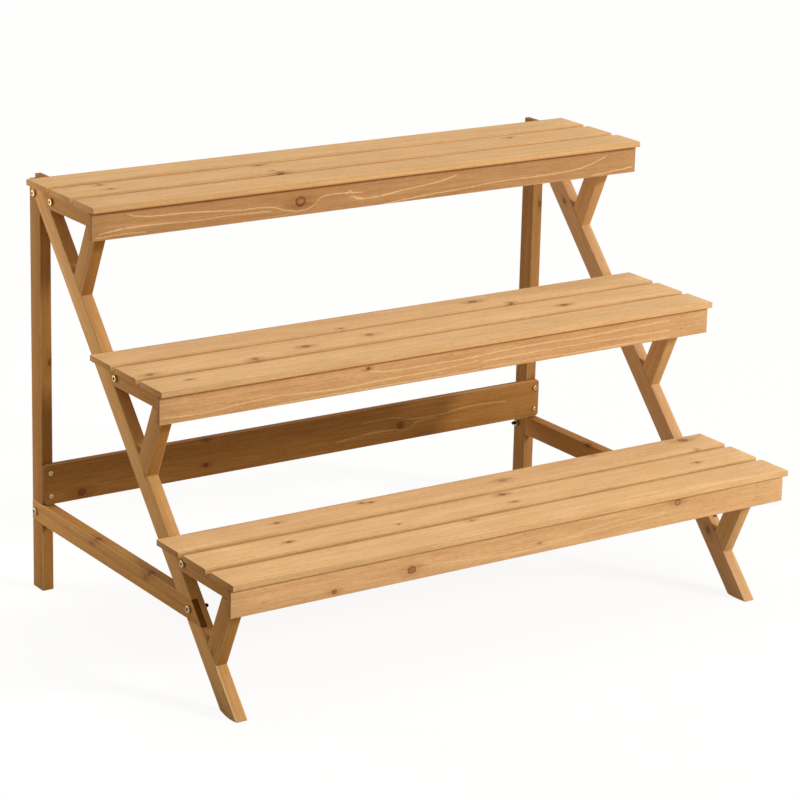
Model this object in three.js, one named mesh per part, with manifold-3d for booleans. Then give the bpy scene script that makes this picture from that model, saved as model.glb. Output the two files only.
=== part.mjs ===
// A three-tier plant stand in planed softwood, in millimetres, +Z up.
// +X runs along the shelves, -Y is the front where the lowest shelf is, and the ground is z = 0.
// Two side frames carry three shelves. Each frame is an upright post behind, a long diagonal
// stringer, a low rail half-lapped into both, and on each tier a bearer propped by a short brace.
import * as THREE from 'three';
import { mergeVertices } from 'three/addons/utils/BufferGeometryUtils.js';
import Module from 'manifold-3d';

const wasm = await Module();
wasm.setup();

// ---- Driving dimensions ----

// Shelves
const shelfLength = 983;
const tierCount = 3;
const tierRun = 198; // each tier steps this far back
const tierRise = 219; // and this far up
const lowestTop = 217; // top of the lowest shelf
const slatsPerShelf = 3;
const slatWidth = 62;
const slatGap = 13;
const slatThickness = 9;
const slatEdgeRadius = 2.5;

// Apron, the board on edge under a shelf's front
const apronThickness = 10;
const apronHeight = 42;
const apronSetback = 9; // behind the front edge of the slats
const apronEndInset = 1.8; // short of the slat ends

// Side frames, all sawn from one size of timber
const frameOverhang = 25.5; // slats reach this far past a frame's outer face
const timberWidth = 32;
const timberThickness = 19;
const timberEdge = 1.5; // eased long edges
const stringerGap = 6; // from a shelf's back edge to the stringer's front edge
const footHeel = 4; // flattened sharp corner at a stringer's foot
const postGap = 9; // from the top shelf's back edge to the post
const postTopDrop = 3; // post top below the top shelf's surface
const railTop = 140;
const railEndRecess = 0.8; // the rail's cut end lies this far inside the stringer's front edge
const bearerHeight = 35;
const braceAngle = 65.5; // degrees above the ground
const braceSetback = 20; // from the apron's back to the brace's front edge, under the bearer

// Battens, the cross pieces under the slats
const battenThickness = 19;
const battenHeight = 32;

// Cross board on the posts' front faces
const boardThickness = 10;
const boardHeight = 64;
const boardLift = 2; // above the rail
const boardCornerRadius = 6;

// Bolts and screws
const boltDiameter = 6;
const boltHeadDiameter = 11;
const boltHeadHeight = 3.4;
const boltSocketWidth = 4;
const boltSocketDepth = 1.8;
const boltTail = 6.5; // thread showing past the nut
const bearerBoltTail = 2.5; // the same on the bearers' bolts
const nutAcrossFlats = 10;
const nutHeight = 5;
const bearerBoltFromStringer = 17; // level distance in front of the stringer
const bearerBoltDrop = 22; // below the slats
const postBoltDrop = 20; // below the top slats
const railBoltFromBack = 11; // from the post's back face
const boltSides = 20;
const screwDiameter = 3.5;
const screwLength = 32;
const screwHeadDiameter = 8;
const screwHeadHeight = 2;
const screwSlotLength = 4.4;
const screwSlotWidth = 1.2;
const screwSlotDepth = 1;
const screwSpacing = 37;

// Fits
const seat = 0.3; // between two pieces that bear on each other
const holeClearance = 0.4; // round a bolt or screw, on the radius

// ---- Places worked out from them ----

const shelfDepth = slatsPerShelf * slatWidth + (slatsPerShelf - 1) * slatGap;
const overallDepth = (tierCount - 1) * tierRun + shelfDepth + postGap + timberWidth;
const frontY = -overallDepth / 2;
const backY = overallDepth / 2;
const topShelfTop = lowestTop + (tierCount - 1) * tierRise;

const frameOuter = shelfLength / 2 - frameOverhang;
const frameInner = frameOuter - timberThickness;
const lapPlane = frameOuter - timberThickness / 2;

const slope = tierRise / tierRun; // the stringer climbs with the tiers
const slopeAngle = Math.atan(slope);
const stringerLevelWidth = timberWidth / Math.sin(slopeAngle);
const postFront = backY - timberWidth;
const railBottom = railTop - timberWidth;

// the lowest tier, which the others repeat further back and up
const underslat = lowestTop - slatThickness;
const topUnderslat = topShelfTop - slatThickness;
const apronBack = frontY + apronSetback + apronThickness;

// y of the stringer's front and back edges at a height
const stringerFoot = frontY + shelfDepth + stringerGap - underslat / slope;
const stringerFrontAt = (z) => stringerFoot + z / slope;
const stringerBackAt = (z) => stringerFrontAt(z) + stringerLevelWidth;
const stringerTop = topUnderslat - seat;
const seatLevel = seat / Math.sin(slopeAngle); // the seat clearance measured level

const postBoltY = postFront + timberWidth / 2;
const postBoltZ = topUnderslat - postBoltDrop;
const railMidZ = railTop - timberWidth / 2;
const railBoltY = backY - railBoltFromBack;
const railLapY = stringerFrontAt(railMidZ) + stringerLevelWidth / 2;
const bearerBoltZ = underslat - bearerBoltDrop;
const bearerBoltY = stringerFrontAt(bearerBoltZ) - bearerBoltFromStringer;
const battenX = frameInner - seat - battenThickness / 2;
const boardBottom = railTop + boardLift;
const boardFront = postFront - seat - boardThickness;
const screwHeights = [-1, 1].map((end) => boardBottom + boardHeight / 2 + (end * screwSpacing) / 2);
const screwX = frameOuter - timberThickness / 2;

// ---- Materials, one for each piece ----

const wood = () => new THREE.MeshStandardMaterial({ color: 0xc9935a, roughness: 0.62, metalness: 0 });
const paleWood = () => new THREE.MeshStandardMaterial({ color: 0xdbad74, roughness: 0.6, metalness: 0 });
const darkWood = () => new THREE.MeshStandardMaterial({ color: 0xa9733f, roughness: 0.65, metalness: 0 });
const zinc = () => new THREE.MeshStandardMaterial({ color: 0xc9b48c, roughness: 0.35, metalness: 1 });

// ---- Shapes ----

const REACH = 2000; // longer than anything that a cutter has to pass through

// turns an outline drawn in x and y, extruded along z, into one in Y and Z, extruded along X
const outlineToYZ = new THREE.Matrix4().makeBasis(
  new THREE.Vector3(0, 1, 0),
  new THREE.Vector3(0, 0, 1),
  new THREE.Vector3(1, 0, 0),
);
const outlineYZ = (points) => new THREE.Shape(points.map(([y, z]) => new THREE.Vector2(y, z)));

function toSolid(geometry) {
  const bare = geometry.clone();
  bare.deleteAttribute('normal');
  bare.deleteAttribute('uv');
  const merged = mergeVertices(bare, 1e-4);
  const mesh = new wasm.Mesh({
    numProp: 3,
    vertProperties: new Float32Array(merged.attributes.position.array),
    triVerts: new Uint32Array(merged.index.array),
  });
  return new wasm.Manifold(mesh);
}

function toGeometry(solid) {
  const mesh = solid.getMesh();
  const geometry = new THREE.BufferGeometry();
  geometry.setAttribute('position', new THREE.BufferAttribute(mesh.vertProperties, 3));
  geometry.setIndex(new THREE.BufferAttribute(mesh.triVerts, 1));
  geometry.computeVertexNormals();
  return geometry;
}

// A flat outline in Y and Z, extruded along X from x0 to x1.
function prismX(points, x0, x1) {
  const geometry = new THREE.ExtrudeGeometry(outlineYZ(points), { depth: x1 - x0, bevelEnabled: false });
  return geometry.applyMatrix4(outlineToYZ).translate(x0, 0, 0);
}

// A prism whose edges round the outline are eased, as on planed timber.
function easedPrismX(points, x0, x1, ease) {
  const geometry = new THREE.ExtrudeGeometry(outlineYZ(points), {
    depth: x1 - x0 - 2 * ease,
    bevelThickness: ease,
    bevelSize: ease,
    bevelOffset: -ease,
    bevelSegments: 1,
  });
  return geometry.applyMatrix4(outlineToYZ).translate(x0 + ease, 0, 0);
}

function roundedRectangle(width, height, radius, steps) {
  const shape = new THREE.Shape();
  const w = width / 2;
  const h = height / 2;
  shape.moveTo(w - radius, -h);
  shape.absarc(w - radius, -h + radius, radius, -Math.PI / 2, 0, false);
  shape.absarc(w - radius, h - radius, radius, 0, Math.PI / 2, false);
  shape.absarc(-w + radius, h - radius, radius, Math.PI / 2, Math.PI, false);
  shape.absarc(-w + radius, -h + radius, radius, Math.PI, 1.5 * Math.PI, false);
  return new THREE.Shape(dropRepeats(shape.getPoints(steps)));
}

function dropRepeats(points) {
  return points.filter((p, i) => p.distanceTo(points[(i + 1) % points.length]) > 1e-6);
}

// A board with rounded long edges, laid along X and centred on its place.
function boardAlongX(length, width, thickness, radius, centre) {
  const section = roundedRectangle(width, thickness, radius, 2);
  const geometry = new THREE.ExtrudeGeometry(section, { depth: length, bevelEnabled: false });
  return geometry.applyMatrix4(outlineToYZ).translate(-length / 2 + centre[0], centre[1], centre[2]);
}

function cylinderX(radius, x0, x1, y, z, sides = boltSides) {
  const geometry = new THREE.CylinderGeometry(radius, radius, x1 - x0, sides);
  return geometry.rotateZ(Math.PI / 2).translate((x0 + x1) / 2, y, z);
}

function cylinderY(radius, y0, y1, x, z, sides = boltSides) {
  const geometry = new THREE.CylinderGeometry(radius, radius, y1 - y0, sides);
  return geometry.translate(x, (y0 + y1) / 2, z);
}

const boltHole = (y, z) => cylinderX(boltDiameter / 2 + holeClearance, -REACH, REACH, y, z, 12);
const screwHole = (y0, y1, x, z) => cylinderY(screwDiameter / 2 + holeClearance, y0, y1, x, z, 10);

// Everything on one side of a line through a point, at a slope, as a thick slab along X.
function halfPlane(y, z, angle, x0, x1) {
  const along = [Math.cos(angle) * REACH, Math.sin(angle) * REACH];
  const away = [-Math.sin(angle) * REACH, Math.cos(angle) * REACH];
  const corners = [
    [y - along[0], z - along[1]],
    [y + along[0], z + along[1]],
    [y + along[0] + away[0], z + along[1] + away[1]],
    [y - along[0] + away[0], z - along[1] + away[1]],
  ];
  return prismX(corners, x0, x1);
}

function boxYZ(y0, y1, z0, z1, x0, x1) {
  return prismX([[y0, z0], [y1, z0], [y1, z1], [y0, z1]], x0, x1);
}

// ---- Pieces ----

function addPiece(parent, name, geometry, material, cutters = []) {
  let solid = toSolid(geometry);
  for (const cutter of cutters) solid = solid.subtract(toSolid(cutter));
  const mesh = new THREE.Mesh(toGeometry(solid), material);
  mesh.name = name;
  parent.add(mesh);
}

// Side pieces are drawn for the right side. The left ones are their mirror images.
function mirrored(geometry) {
  const copy = geometry.index ? geometry.clone() : mergeVertices(geometry);
  copy.scale(-1, 1, 1);
  for (let i = 0; i < copy.index.count; i += 3) {
    const first = copy.index.getX(i);
    copy.index.setX(i, copy.index.getX(i + 2));
    copy.index.setX(i + 2, first);
  }
  return copy;
}

function addSidePiece(parent, side, name, geometry, material, cutters = []) {
  const place = (g) => (side === 'left' ? mirrored(g) : g);
  addPiece(parent, `${side}_${name}`, place(geometry), material, cutters.map(place));
}

// The post: its outer half gives way to the stringer at the top and to the rail below.
function addPost(parent, side) {
  const top = topShelfTop - postTopDrop;
  const outline = [[postFront, 0], [backY, 0], [backY, top], [postFront, top]];
  const lap = lapPlane - seat / 2;
  const screwEnd = boardFront + screwLength + holeClearance;
  addSidePiece(parent, side, 'post', easedPrismX(outline, frameInner, frameOuter, timberEdge), darkWood(), [
    halfPlane(stringerBackAt(0) + seatLevel, 0, slopeAngle, lap, REACH),
    boxYZ(postFront - 1, backY + 1, railBottom - seat, railTop + seat, lap, REACH),
    boltHole(postBoltY, postBoltZ),
    boltHole(railBoltY, railMidZ),
    ...screwHeights.map((z) => screwHole(postFront - 1, screwEnd, screwX, z)),
  ]);
}

// The stringer: a long leg with a flat foot. Its inner half stops at the post's front face.
function addStringer(parent, side) {
  const outline = [
    [stringerFrontAt(0), 0],
    [stringerBackAt(0) - footHeel / slope - footHeel, 0],
    [stringerBackAt(footHeel) - footHeel / 4, footHeel],
    [stringerBackAt(footHeel * 2), footHeel * 2],
    [backY, (backY - stringerBackAt(0)) * slope],
    [backY, stringerTop],
    [stringerFrontAt(stringerTop), stringerTop],
  ];
  const body = easedPrismX(outline, frameInner, frameOuter, timberEdge);
  const railNotchBack = stringerBackAt(railTop) + 1;
  addSidePiece(parent, side, 'stringer', body, wood(), [
    boxYZ(postFront - seat, backY + 1, 0, REACH, 0, lapPlane + seat / 2),
    boxYZ(frontY, railNotchBack, railBottom - seat, railTop + seat, lapPlane - seat / 2, REACH),
    boltHole(postBoltY, postBoltZ),
    boltHole(railLapY, railMidZ),
  ]);
}

// The low rail: full thickness between the legs, half thickness where it laps over them.
function addRail(parent, side) {
  const frontAt = (z) => stringerFrontAt(z) + railEndRecess / Math.sin(slopeAngle);
  const outline = [
    [frontAt(railBottom), railBottom],
    [backY, railBottom],
    [backY, railTop],
    [frontAt(railTop), railTop],
  ];
  const lap = lapPlane + seat / 2;
  addSidePiece(parent, side, 'rail', easedPrismX(outline, frameInner, frameOuter, timberEdge / 2), wood(), [
    boxYZ(postFront - seat, backY + 1, 0, REACH, 0, lap),
    halfPlane(stringerBackAt(0) + seatLevel, 0, slopeAngle, 0, lap),
    boltHole(railBoltY, railMidZ),
    boltHole(railLapY, railMidZ),
  ]);
}

// A bearer: level under the slats, from the apron's back to the stringer's front edge.
function addBearer(parent, side, name) {
  const top = underslat - seat;
  const bottom = underslat - bearerHeight;
  const outline = [
    [apronBack + seat, bottom],
    [stringerFrontAt(bottom) - seatLevel, bottom],
    [stringerFrontAt(top) - seatLevel, top],
    [apronBack + seat, top],
  ];
  const body = easedPrismX(outline, frameInner, frameOuter, timberEdge / 2);
  addSidePiece(parent, side, name, body, wood(), [boltHole(bearerBoltY, bearerBoltZ)]);
}

// A brace: a short strut cut to the stringer's slope below and level under the bearer above.
function addBrace(parent, side, name) {
  const angle = THREE.MathUtils.degToRad(braceAngle);
  const top = underslat - bearerHeight - seat;
  const frontTop = apronBack + braceSetback;
  const backTop = frontTop + timberWidth / Math.sin(angle);
  // where a line that falls backwards from (y, top) meets the stringer's front edge
  const meet = (y) => {
    const drop = (stringerFrontAt(top) - seatLevel - y) / (1 / Math.tan(angle) + 1 / slope);
    return [y + drop / Math.tan(angle), top - drop];
  };
  const outline = [meet(frontTop), meet(backTop), [backTop, top], [frontTop, top]];
  addSidePiece(parent, side, name, easedPrismX(outline, frameInner, frameOuter, timberEdge / 2), wood());
}

// A bolt with a round head on the outer face and its nut on the inner one, as it stands tightened.
function addBolt(parent, side, name, y, z, innerFace, tail = boltTail) {
  const head = frameOuter + seat / 2;
  const nutFace = innerFace - seat / 2;
  const socketFloor = head + boltHeadHeight - boltSocketDepth;
  const nut = cylinderX(nutAcrossFlats / Math.sqrt(3), nutFace - nutHeight, nutFace, y, z, 6);
  const socket = cylinderX(boltSocketWidth / Math.sqrt(3), socketFloor, REACH, y, z, 6);
  const bolt = toSolid(cylinderX(boltHeadDiameter / 2, head, head + boltHeadHeight, y, z))
    .add(toSolid(cylinderX(boltDiameter / 2, nutFace - nutHeight - tail, head + 1, y, z)))
    .add(toSolid(nut))
    .subtract(toSolid(socket));
  addSidePiece(parent, side, name, toGeometry(bolt), zinc());
}

// A slat: laid along X on the bearers and battens.
function addSlat(parent, name, row) {
  const y = frontY + slatWidth / 2 + row * (slatWidth + slatGap);
  const z = underslat + slatThickness / 2;
  const slat = boardAlongX(shelfLength, slatWidth, slatThickness, slatEdgeRadius, [0, y, z]);
  addPiece(parent, name, slat, paleWood());
}

function addApron(parent, name) {
  const length = shelfLength - 2 * apronEndInset;
  const centre = [0, frontY + apronSetback + apronThickness / 2, underslat - seat - apronHeight / 2];
  addPiece(parent, name, boardAlongX(length, apronThickness, apronHeight, timberEdge, centre), wood());
}

// A batten: across the shelf under its slats. A bearer's bolt runs through each end one.
function addBatten(parent, name, x) {
  const top = underslat - seat;
  const bottom = top - battenHeight;
  const front = apronBack + seat;
  const back = frontY + shelfDepth - slatEdgeRadius;
  const outline = [[front, bottom], [back, bottom], [back, top], [front, top]];
  const half = battenThickness / 2;
  const cutters = x === 0 ? [] : [boltHole(bearerBoltY, bearerBoltZ)];
  addPiece(parent, name, easedPrismX(outline, x - half, x + half, timberEdge / 2), wood(), cutters);
}

// The cross board: screwed to the posts' front faces, its corners rounded.
function addCrossBoard(parent) {
  const face = roundedRectangle(2 * frameOuter, boardHeight, boardCornerRadius, 3);
  const board = new THREE.ExtrudeGeometry(face, { depth: boardThickness, bevelEnabled: false })
    .rotateX(Math.PI / 2)
    .translate(0, boardFront + boardThickness, boardBottom + boardHeight / 2);
  const holesAt = (x) => screwHeights.map((z) => screwHole(boardFront - 1, postFront, x, z));
  addPiece(parent, 'cross_board', board, darkWood(), [...holesAt(-screwX), ...holesAt(screwX)]);
}

// A screw with a crossed recess, driven from the front through the board into the post.
function addScrew(parent, side, name, z) {
  const face = boardFront - seat / 2;
  let solid = toSolid(cylinderY(screwHeadDiameter / 2, face - screwHeadHeight, face, screwX, z));
  solid = solid.add(toSolid(cylinderY(screwDiameter / 2, face - 1, face + screwLength, screwX, z, 10)));
  for (const [wide, high] of [[screwSlotLength, screwSlotWidth], [screwSlotWidth, screwSlotLength]]) {
    const slot = new THREE.BoxGeometry(wide, 2 * screwSlotDepth, high);
    solid = solid.subtract(toSolid(slot.translate(screwX, face - screwHeadHeight, z)));
  }
  addSidePiece(parent, side, name, toGeometry(solid), zinc());
}

// ---- Assembly ----

const stand = new THREE.Group();

for (const side of ['left', 'right']) {
  const frame = new THREE.Group();
  addPost(frame, side);
  addStringer(frame, side);
  addRail(frame, side);
  addBolt(frame, side, 'bolt_post_top', postBoltY, postBoltZ, frameInner);
  addBolt(frame, side, 'bolt_post_rail', railBoltY, railMidZ, frameInner);
  addBolt(frame, side, 'bolt_stringer_rail', railLapY, railMidZ, frameInner);
  addScrew(frame, side, 'screw_lower', screwHeights[0]);
  addScrew(frame, side, 'screw_upper', screwHeights[1]);
  stand.add(frame);
}
addCrossBoard(stand);

for (let i = 0; i < tierCount; i++) {
  const tier = new THREE.Group();
  tier.position.set(0, i * tierRun, i * tierRise);
  const number = i + 1;
  for (let row = 0; row < slatsPerShelf; row++) addSlat(tier, `slat_${number}_${row + 1}`, row);
  addApron(tier, `apron_${number}`);
  addBatten(tier, `batten_${number}_left`, -battenX);
  addBatten(tier, `batten_${number}_middle`, 0);
  addBatten(tier, `batten_${number}_right`, battenX);
  for (const side of ['left', 'right']) {
    addBearer(tier, side, `bearer_${number}`);
    addBrace(tier, side, `brace_${number}`);
    const nutSeat = battenX - battenThickness / 2; // this bolt's nut bears on the batten
    addBolt(tier, side, `bolt_bearer_${number}`, bearerBoltY, bearerBoltZ, nutSeat, bearerBoltTail);
  }
  stand.add(tier);
}

export default stand;
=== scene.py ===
import math
import bpy
from mathutils import Matrix, Vector


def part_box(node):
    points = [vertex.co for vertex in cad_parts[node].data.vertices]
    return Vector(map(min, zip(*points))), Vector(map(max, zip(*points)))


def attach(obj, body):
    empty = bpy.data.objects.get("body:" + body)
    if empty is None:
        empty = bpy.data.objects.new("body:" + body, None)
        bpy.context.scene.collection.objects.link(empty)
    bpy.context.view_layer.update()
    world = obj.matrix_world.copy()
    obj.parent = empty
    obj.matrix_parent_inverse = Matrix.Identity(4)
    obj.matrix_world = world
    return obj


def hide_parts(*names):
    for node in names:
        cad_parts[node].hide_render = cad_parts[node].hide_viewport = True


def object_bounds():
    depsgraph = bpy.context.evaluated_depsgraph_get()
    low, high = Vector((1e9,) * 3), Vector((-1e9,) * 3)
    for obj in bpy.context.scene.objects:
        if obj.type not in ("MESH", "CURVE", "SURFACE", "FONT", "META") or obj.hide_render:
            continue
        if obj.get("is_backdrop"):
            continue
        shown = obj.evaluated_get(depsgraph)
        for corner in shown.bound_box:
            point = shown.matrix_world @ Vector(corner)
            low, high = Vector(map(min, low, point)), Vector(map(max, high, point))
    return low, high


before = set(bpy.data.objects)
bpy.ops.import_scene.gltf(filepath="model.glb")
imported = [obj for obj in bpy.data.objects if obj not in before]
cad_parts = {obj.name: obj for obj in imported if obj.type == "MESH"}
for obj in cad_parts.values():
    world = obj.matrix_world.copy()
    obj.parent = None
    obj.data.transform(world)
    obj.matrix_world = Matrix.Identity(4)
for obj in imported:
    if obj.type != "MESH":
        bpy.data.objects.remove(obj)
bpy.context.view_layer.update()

# ---- Posts ----
# The two upright rear legs, 32 by 19 mm planed fir, stained honey brown. The outer half of each
# top is cut away on the slope for the diagonal leg, and the rail is let in low down.

MM = 0.001
UP, BACK, RIGHT = Vector((0, 0, 1)), Vector((0, 1, 0)), Vector((1, 0, 0))
# how a cylinder, which is added upright, is turned to lie across the stand
ALONG_X = (0, math.pi / 2, 0)
# the places of sockets whose names repeat: Map Range's, and those of a Mix of two colours
VALUE, FROM_MIN, FROM_MAX, TO_MIN, TO_MAX = range(5)
SHARE, UNDER, OVER = 0, 6, 7


def linear(sixhex):
    """An sRGB hex colour as linear red, green, blue and alpha."""
    parts = [int(sixhex[i:i + 2], 16) / 255 for i in (0, 2, 4)]
    return [c / 12.92 if c <= 0.04045 else ((c + 0.055) / 1.055) ** 2.4 for c in parts] + [1]


def node(tree, kind, links=(), **settings):
    """Adds a shader node with its settings, and its inputs as values or links. A node given as an
    input stands for its first output in use."""
    made = tree.nodes.new("ShaderNode" + kind)
    for key, value in settings.items():
        setattr(made, key, value)
    for socket, source in dict(links).items():
        if isinstance(source, bpy.types.Node):
            source = next(output for output in source.outputs if output.enabled)
        if isinstance(source, bpy.types.NodeSocket):
            tree.links.new(source, made.inputs[socket])
        else:
            made.inputs[socket].default_value = source
    return made


def settle(name):
    """Names what was just added, and leaves its place in its mesh."""
    piece = bpy.context.object
    piece.name = piece.data.name = name
    bpy.ops.object.transform_apply(location=True, rotation=True, scale=True)
    return piece


def blank(name, low, high, lean=0.0):
    """A squared length of timber between two corners in metres, leaned back about its middle."""
    bpy.ops.object.select_all(action="DESELECT")
    bpy.ops.mesh.primitive_cube_add(
        size=1, location=(low + high) / 2, rotation=(lean, 0, 0), scale=high - low)
    return settle(name)


def rod(name, middle, radius, length, sides, turn=ALONG_X):
    """A round or many-sided bar about its middle, along X unless turned."""
    bpy.ops.object.select_all(action="DESELECT")
    bpy.ops.mesh.primitive_cylinder_add(
        vertices=sides, radius=radius, depth=length, location=middle, rotation=turn)
    return settle(name)


def take(piece):
    """Makes this the one piece that is selected, and the active one."""
    bpy.ops.object.select_all(action="DESELECT")
    bpy.context.view_layer.objects.active = piece
    piece.select_set(True)


def pick_edges(piece, chosen):
    """Leaves the piece in edit mode with only the edges selected for which chosen(start, end) holds."""
    take(piece)
    bpy.ops.object.mode_set(mode="EDIT")
    bpy.ops.mesh.select_mode(type="EDGE")
    bpy.ops.mesh.select_all(action="DESELECT")
    bpy.ops.object.mode_set(mode="OBJECT")
    for edge in piece.data.edges:
        start, end = (piece.data.vertices[i].co for i in edge.vertices)
        edge.select = chosen(start, end)
    bpy.ops.object.mode_set(mode="EDIT")


def round_over(piece, radius, steps, chosen):
    """Bevels the chosen edges."""
    pick_edges(piece, chosen)
    bpy.ops.mesh.bevel(offset=radius, segments=steps, affect="EDGES")
    bpy.ops.object.mode_set(mode="OBJECT")


def ease(piece, along, radius, steps=3, where=lambda middle: True):
    """Rounds the edges that run along the timber, as the planer's arris cutter does."""
    round_over(piece, radius, steps,
               lambda a, b: abs((b - a).normalized().dot(along)) > 0.999 and where((a + b) / 2))


def combine(piece, tool, operation="DIFFERENCE"):
    """Takes the tool's shape out of the piece, or joins the two, and removes the tool."""
    take(piece)
    change = piece.modifiers.new("change", "BOOLEAN")
    change.operation, change.solver, change.object = operation, "EXACT", tool
    bpy.ops.object.modifier_apply(modifier="change")
    bpy.data.objects.remove(tool)


def drill(piece, place, diameter, depth, turn=ALONG_X):
    """Bores a round hole, centred on its place."""
    combine(piece, rod("bore", place, diameter / 2, depth, 24, turn))


def placed(first, name, side="right", shift=(0, 0, 0)):
    """The first piece where the name is its own. Otherwise a copy with its own mesh, moved, and
    mirrored for the left side frame."""
    if first.name == name:
        return first
    take(first)
    bpy.ops.object.duplicate()
    bpy.context.object.data.materials.clear()
    bpy.ops.transform.translate(value=shift)
    if side == "left":
        bpy.ops.transform.resize(value=(-1, 1, 1), center_override=(0, 0, 0))
    twin = settle(name)
    if side == "left":
        bpy.ops.object.mode_set(mode="EDIT")
        bpy.ops.mesh.select_all(action="SELECT")
        bpy.ops.mesh.normals_make_consistent(inside=False)
        bpy.ops.object.mode_set(mode="OBJECT")
    return twin


def soften(piece, width=0.35 * MM):
    """Takes the sharpness off sawn edges, as a rub of sandpaper does, and smooths the shading."""
    take(piece)
    rub = piece.modifiers.new("rub", "BEVEL")
    rub.width, rub.segments, rub.limit_method, rub.angle_limit = width, 2, "ANGLE", math.radians(38)
    bpy.ops.object.modifier_apply(modifier="rub")
    bpy.ops.object.shade_smooth_by_angle(angle=math.radians(35))


def lay_grain(piece, middle, along, face, edge_shade=(0.0, 0.0)):
    """Stores where each point lies in its own board, along, across and through it in metres from
    its middle, and marks the sawn ends, where the grain is seen end on, and the rounded arrises.
    The upper and lower parts of its narrow edges can be given a share of the ends' dark colour, as painted
    shade.
    A copy of a piece that has its grain keeps that."""
    if "in_board" in piece.data.attributes:
        return
    along, face = Vector(along).normalized(), Vector(face).normalized()
    axes = (along, face.cross(along), face)
    places = piece.data.attributes.new("in_board", "FLOAT_VECTOR", "POINT")
    for vertex, place in zip(piece.data.vertices, places.data):
        place.vector = [(vertex.co - middle).dot(axis) for axis in axes]
    end_grain_and_shade = piece.data.attributes.new("sawn_end_and_edge_shade", "FLOAT", "FACE")
    arrises = piece.data.attributes.new("arris", "FLOAT", "FACE")
    for polygon, end, arris in zip(piece.data.polygons, end_grain_and_shade.data, arrises.data):
        facing = [abs(polygon.normal.dot(axis)) for axis in axes]
        lower = (polygon.center - middle).dot(face) < 2 * MM
        end.value = 1.0 if facing[0] > 0.6 else edge_shade[lower] * (facing[1] > 0.8)
        arris.value = max(facing[1:]) < 0.97 and facing[0] < 0.2


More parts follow.
